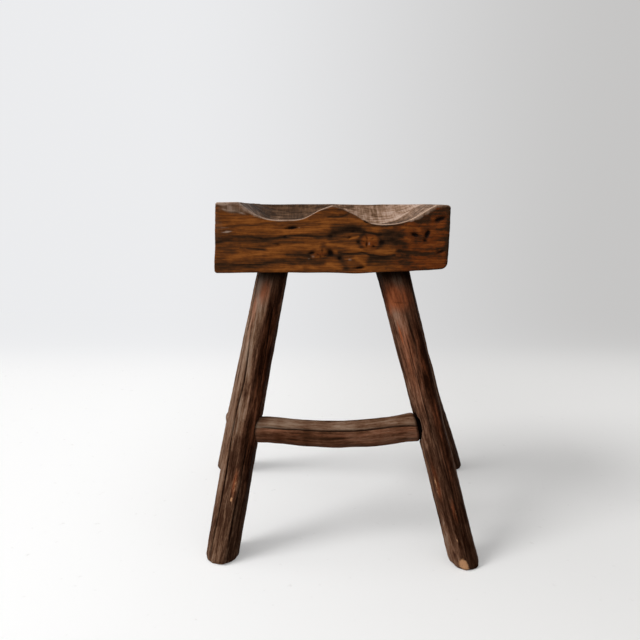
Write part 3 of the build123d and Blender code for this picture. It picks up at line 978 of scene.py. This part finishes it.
def saddle_seat(look, sizes):
    """The block, with its knots, holes and streaks, and the saddle worn grey."""
    node = "seat_block"
    solid = Solid(node)
    low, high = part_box(node)
    mesh = seat_cube((sizes.seat_cuts_wide, sizes.seat_cuts_deep, sizes.seat_cuts_high))
    fit_to_block(mesh, solid, low, high)
    bmesh.ops.recalc_face_normals(mesh, faces=mesh.faces)
    mesh.normal_update()
    marks = []
    grain = []
    lips = {}
    for vertex in mesh.verts:
        place = vertex.co.copy()
        normal = vertex.normal.copy()
        row = dict.fromkeys(SEAT_MARKS, 0.0)
        rise = hewing(place, 0, SEAT_RELIEF)
        bend = 0.0
        front = ease((-normal.y - 0.35) / 0.4) if place.y < low.y + FACE_DEPTH else 0.0
        if front > 0:
            lift, bend = front_marks(place, row)
            rise += front * lift
            # the front is darker and redder toward the right, and its rounded right arris gets
            # painted shade
            right = ease((place.x / MM - 40) / 90)
            row["tone"] -= 0.6 * right + 0.9 * ease((place.x / MM - 168) / 10)
            spill = worn_lip(place, lips, solid, low, high)
            row["saddle_tone"] = 0.5 * spill + 0.2 * row["worn"]
            row["worn"] = max(row["worn"], 0.85 * spill)
            row["red"] = max(row["red"], 0.75 * right)
            row = {name: value * front for name, value in row.items()}
        carved = ease((normal.z - 0.12) / 0.3)
        tone = row["saddle_tone"]
        crease = saddle_marks(place, low, carved, row)
        row["saddle_tone"] = row["saddle_tone"] * carved + tone * (1 - carved)
        rise += carved * 0.8 * MM * (min(1.0, abs(crease) / 0.25) - 0.8)
        vertex.co = place + normal * rise
        vertex.co.z += underside_wave(place, low)
        grain.append((place.x, place.y, place.z + bend))
        marks.append([row[name] for name in SEAT_MARKS])
    finished(mesh, "saddle_seat", node, seat_wood(look), grain, SEAT_MARKS, marks)


# The stretcher, housed in the two front legs

STRETCHER_MARKS = ("tone", "red", "bare", "dark")
NECK_SHARE = 0.87  # how thick the worn neck is, as a share of the stretcher
CRACK_WIDTH = 0.8 * MM
CRACK_DEPTH = 3.5 * MM
SPLIT_RELIEF = ((0.7, 0.4, 0.02, 61), (0.3, 0.07, 0.0035, 62), (0.4, 0.8, 0.011, 64))


def stretcher_middle(solid, x, guess):
    """The middle of the stretcher's section at a place along it."""
    start = Vector((x, guess.y, guess.z))
    start.z += (solid.reach(start, -DOWN) - solid.reach(start, DOWN)) / 2
    back = solid.reach(start, Vector((0, 1, 0)))
    front = solid.reach(start, Vector((0, -1, 0)))
    return Vector((x, start.y + (back - front) / 2, start.z))


def shoulder_place(solid, middle, outward, side):
    """Where a string of the stretcher's skin meets the shoulder on one side."""
    start = middle + outward * (solid.reach(middle, outward) * 0.88)
    reach = solid.reach(start, Vector((side, 0, 0)))
    if not reach:
        raise ValueError("the stretcher's shoulder wasn't found")
    return start.x + side * reach


def worn_end(angle):
    """How far the right end is worn back to its neck, least at its front."""
    return MM * (8.5 - 1.5 * max(0.0, -cos(angle)))


def split_skin(x, angle, radius, share):
    """The stretcher's skin: its radius and marks at a place along and around it."""
    skin = (x, cos(angle) * radius, sin(angle) * radius)
    radius += hewing(skin, 0, SPLIT_RELIEF)
    wander = 0.08 * rough((x, 0, 0), 0.045, 63)
    path = pi - radians(27 + 7 * sin(pi * share)) + wander
    away = turn_between(angle, path)
    fade = ease(share / 0.12) * ease((1.02 - share) / 0.1)
    hollow = bump(away * radius, CRACK_WIDTH) * fade
    above = ease((-away * radius) / (1.5 * MM) + 0.5)
    radius += 0.7 * MM * above * bump(away, 0.5) * fade - CRACK_DEPTH * hollow
    lower = max(0.0, -sin(angle))
    upper = max(0.0, sin(angle))
    radius += 3.2 * MM * lower * bump(share - 0.78, 0.14)
    radius -= 1.4 * MM * lower * (1 - ease(share / 0.35))
    radius += 2.6 * MM * upper * ease((share - 0.86) / 0.13)
    end = min(share, 1 - share)
    radius -= 1.6 * MM * (1 - ease(end / 0.012))
    tone = 0.45 * above + 0.2 * (1 - above) - 0.7 * bump(away + 1.1, 0.35)
    tone += 0.5 * rough((x, 0, 0), 0.02, 65)
    # painted shade on both ends, where they go into the legs' housings
    housed = 0.8 * (1 - ease(end / 0.02))
    return radius, (tone, 0.4 * (1 - above), 0.0, max(min(1.0, 1.3 * hollow), housed))


def bowed_stretcher(look, sizes):
    """The split, bowed stretcher, with the drying crack along its front."""
    node = "front_stretcher"
    solid = Solid(node)
    low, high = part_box(node)
    rings = sizes.stretcher_rings
    total = rings + 6
    mesh = lengthwise_tube(sizes.stretcher_columns, total - 1)
    strings = {}
    for vertex in mesh.verts:
        angle = round(atan2(vertex.co.y, vertex.co.x), 4)
        ring = round((vertex.co.z + 1) / 2 * total)
        strings.setdefault(angle, {})[ring] = vertex
    guess = (low + high) / 2
    left_middle = stretcher_middle(solid, low.x + sizes.tenon_inset, guess)
    right_middle = stretcher_middle(solid, high.x - sizes.tenon_inset, guess)
    # the neck and tenon rings keep this full dark mark: painted shade inside the housings
    marks = [(0.0, 0.0, 0.0, 1.0)] * len(mesh.verts)
    grain = [None] * len(mesh.verts)
    for angle, string in strings.items():
        outward = Vector((0, cos(angle), sin(angle)))
        left_end = shoulder_place(solid, left_middle, outward, -1)
        right_end = shoulder_place(solid, right_middle, outward, 1)
        run = right_end - worn_end(angle) - left_end
        for ring, vertex in string.items():
            share = min(max((ring - 2) / rings, 0), 1)
            x = right_end if ring > rings + 3 else left_end + run * share
            middle = stretcher_middle(solid, min(max(x, left_middle.x), right_middle.x), guess)
            if 2 <= ring <= rings + 2:
                radius, marks[vertex.index] = split_skin(
                    x, angle, solid.reach(middle, outward), share)
            elif rings + 2 < ring < rings + 5:
                radius = NECK_SHARE * solid.reach(middle, outward)
            else:
                radius = sizes.stretcher_tenon_radius
                if ring in (0, total):
                    x = low.x if ring == 0 else high.x
            vertex.co = Vector((x, middle.y, middle.z)) + outward * radius
            grain[vertex.index] = (x, outward.y * radius, outward.z * radius)
    bmesh.ops.recalc_face_normals(mesh, faces=mesh.faces)
    finished(mesh, "bowed_stretcher", node, stretcher_wood(look), grain,
             STRETCHER_MARKS, marks)


# The stage: floor, light and camera

CAMERA_PLACE = (-0.0478, -1.181, 0.638)
CAMERA_DIP = 11.03  # degrees below level
CAMERA_LENS = 33.75
SENSOR_WIDTH = 36.0
FLOOR_HALF = 6.0
WALL_BACK = 1.9
WALL_HEIGHT = 5.0
WALL_CURVE = 0.45
ROOM_SEEN = 0.8  # how bright the world looks past the backdrop


def build_camera():
    """The camera of the solved view, level with the seat's top and left of its middle."""
    data = bpy.data.cameras.new("view")
    data.sensor_width = SENSOR_WIDTH
    data.lens = CAMERA_LENS
    camera = linked("view", data)
    camera.location = CAMERA_PLACE
    camera.rotation_euler = (radians(90 - CAMERA_DIP), 0, 0)
    bpy.context.scene.camera = camera


def distant_lamp(name, bearing, rise, spread, level):
    """An even lamp; level 1 lights a surface that faces it as its colour is written."""
    data = bpy.data.lights.new(name, "SUN")
    data.angle = radians(spread)
    data.energy = level * pi
    turn = radians(bearing)
    lift = radians(rise)
    aim = Vector((cos(turn) * cos(lift), sin(turn) * cos(lift), sin(lift)))
    lamp = linked(name, data)
    lamp.location = aim * 3
    lamp.rotation_euler = aim.to_track_quat("Z", "Y").to_euler()


def backdrop_paint(look):
    """A floor that keeps its shadows and runs into a wall as pale as it is written."""
    paint = Paint("backdrop paint")
    across, back, _ = paint.node("SeparateXYZ", Vector=paint.place).outputs
    # painted light: the wall and floor are lighter on the window's side and darker on the far
    # side
    wall = paint.mix(paint.range(across, -0.9, 1.5), look.backdrop_left, look.backdrop_right)
    floor = paint.mix(paint.range(across, -0.7, 0.6), look.floor_left, look.floor_right)
    dust = paint.noise((55, 55, 55), 3.0, 0.5)
    floor = paint.mix(paint.range(dust, 0.66, 0.80, 0.0, 0.22), floor, look.floor_dust)
    shown = seen(paint.tree)
    paint.fill(paint.shader, Base_Color=paint.mix(shown, look.backdrop_bounce, floor),
               Roughness=0.9, Specular_IOR_Level=0.0)
    upright = paint.range(back, 0.5, 1.78)
    glow = paint.node("Emission", Color=paint.mix(upright, floor, wall))
    lifted = paint.range(upright, 0.0, 1.0, look.floor_glow, 1.0)
    both = paint.node("MixShader", Fac=paint.math("MULTIPLY", lifted, shown))
    paint.feed(paint.shader.outputs[0], both.inputs[1])
    paint.feed(glow.outputs[0], both.inputs[2])
    paint.fill(paint.tree.nodes["Material Output"], Surface=both.outputs[0])
    return paint.material


def build_backdrop(look):
    """A floor that curves up into the wall behind the stool."""
    mesh = bmesh.new()
    bmesh.ops.create_grid(mesh, x_segments=1, y_segments=1, size=1)
    for vertex in mesh.verts:
        vertex.co.x *= FLOOR_HALF
        vertex.co.y = WALL_BACK if vertex.co.y > 0 else -FLOOR_HALF
        vertex.co.z = 0.0
    rear = [edge for edge in mesh.edges if all(v.co.y > WALL_BACK - 0.01 for v in edge.verts)]
    lifted = bmesh.ops.extrude_edge_only(mesh, edges=rear)["geom"]
    bmesh.ops.translate(mesh, vec=(0, 0, WALL_HEIGHT),
                        verts=[item for item in lifted if isinstance(item, bmesh.types.BMVert)])
    corner = [edge for edge in mesh.edges
              if all(abs(v.co.y - WALL_BACK) < 0.01 and v.co.z < 0.01 for v in edge.verts)]
    bmesh.ops.bevel(mesh, geom=corner, offset=WALL_CURVE, segments=16, profile=0.5,
                    affect="EDGES", material=-1)
    floor = smooth_object(mesh, "backdrop", backdrop_paint(look))


def build_room(look):
    """The light all around, with a pale wall where the camera looks past the backdrop."""
    world = bpy.data.worlds.new("room")
    bpy.context.scene.world = world
    world.use_nodes = True
    tree = world.node_tree
    mix = tree.nodes.new("ShaderNodeMix")
    tree.links.new(seen(tree), mix.inputs["Factor"])
    mix.inputs["A"].default_value = look.room_level
    mix.inputs["B"].default_value = ROOM_SEEN
    back = tree.nodes["Background"]
    tree.links.new(mix.outputs["Result"], back.inputs["Strength"])
    back.inputs["Color"].default_value = (1, 1, 1, 1)


def build_light(look):
    """A window on the left, the pale wall beside it, the ceiling and the room."""
    distant_lamp("window", 202, 42, 24, look.window_level)
    distant_lamp("left wall", 186, 22, 100, look.wall_level)
    distant_lamp("ceiling", 255, 72, 100, look.ceiling_level)
    build_room(look)


# Operators, one for each piece or group of like pieces

class STOOL_OT_seat(Operator):
    """Make the hewn block with its carved saddle"""
    bl_idname = "stool.seat"
    bl_label = "Seat"

    def execute(self, context):
        saddle_seat(context.scene.stool_look, context.scene.stool_sizes)
        return {"FINISHED"}


class STOOL_OT_stretcher(Operator):
    """Make the bowed stretcher between the front legs"""
    bl_idname = "stool.stretcher"
    bl_label = "Stretcher"

    def execute(self, context):
        bowed_stretcher(context.scene.stool_look, context.scene.stool_sizes)
        return {"FINISHED"}


class STOOL_OT_legs(Operator):
    """Make the four branch legs"""
    bl_idname = "stool.legs"
    bl_label = "Legs"

    def execute(self, context):
        for place, branch in LEGS.items():
            branch_leg(context.scene.stool_look, context.scene.stool_sizes, place, branch)
        return {"FINISHED"}


class STOOL_OT_stage(Operator):
    """Make the floor, the light and the camera"""
    bl_idname = "stool.stage"
    bl_label = "Stage"

    def execute(self, context):
        look = context.scene.stool_look
        build_camera()
        build_light(look)
        build_backdrop(look)
        context.scene.view_settings.view_transform = "Standard"
        return {"FINISHED"}


class STOOL_PT_panel(Panel):
    """Lists the stool's pieces"""
    bl_idname = "STOOL_PT_panel"
    bl_label = "Saddle stool"
    bl_space_type = "VIEW_3D"
    bl_region_type = "UI"
    bl_category = "Stool"

    def draw(self, context):
        for step in STEPS:
            self.layout.operator(step)


STEPS = ("stool.stage", "stool.seat", "stool.stretcher", "stool.legs")
CLASSES = (StoolLook, StoolSizes, STOOL_OT_seat, STOOL_OT_stretcher, STOOL_OT_legs,
           STOOL_OT_stage, STOOL_PT_panel)


def register():
    for item in CLASSES:
        bpy.utils.register_class(item)
    bpy.types.Scene.stool_look = PointerProperty(type=StoolLook)
    bpy.types.Scene.stool_sizes = PointerProperty(type=StoolSizes)


def unregister():
    del bpy.types.Scene.stool_sizes
    del bpy.types.Scene.stool_look
    for item in reversed(CLASSES):
        bpy.utils.unregister_class(item)


def main():
    register()
    for step in STEPS:
        group, name = step.split(".")
        getattr(getattr(bpy.ops, group), name)()


if __name__ == "__main__":
    main()
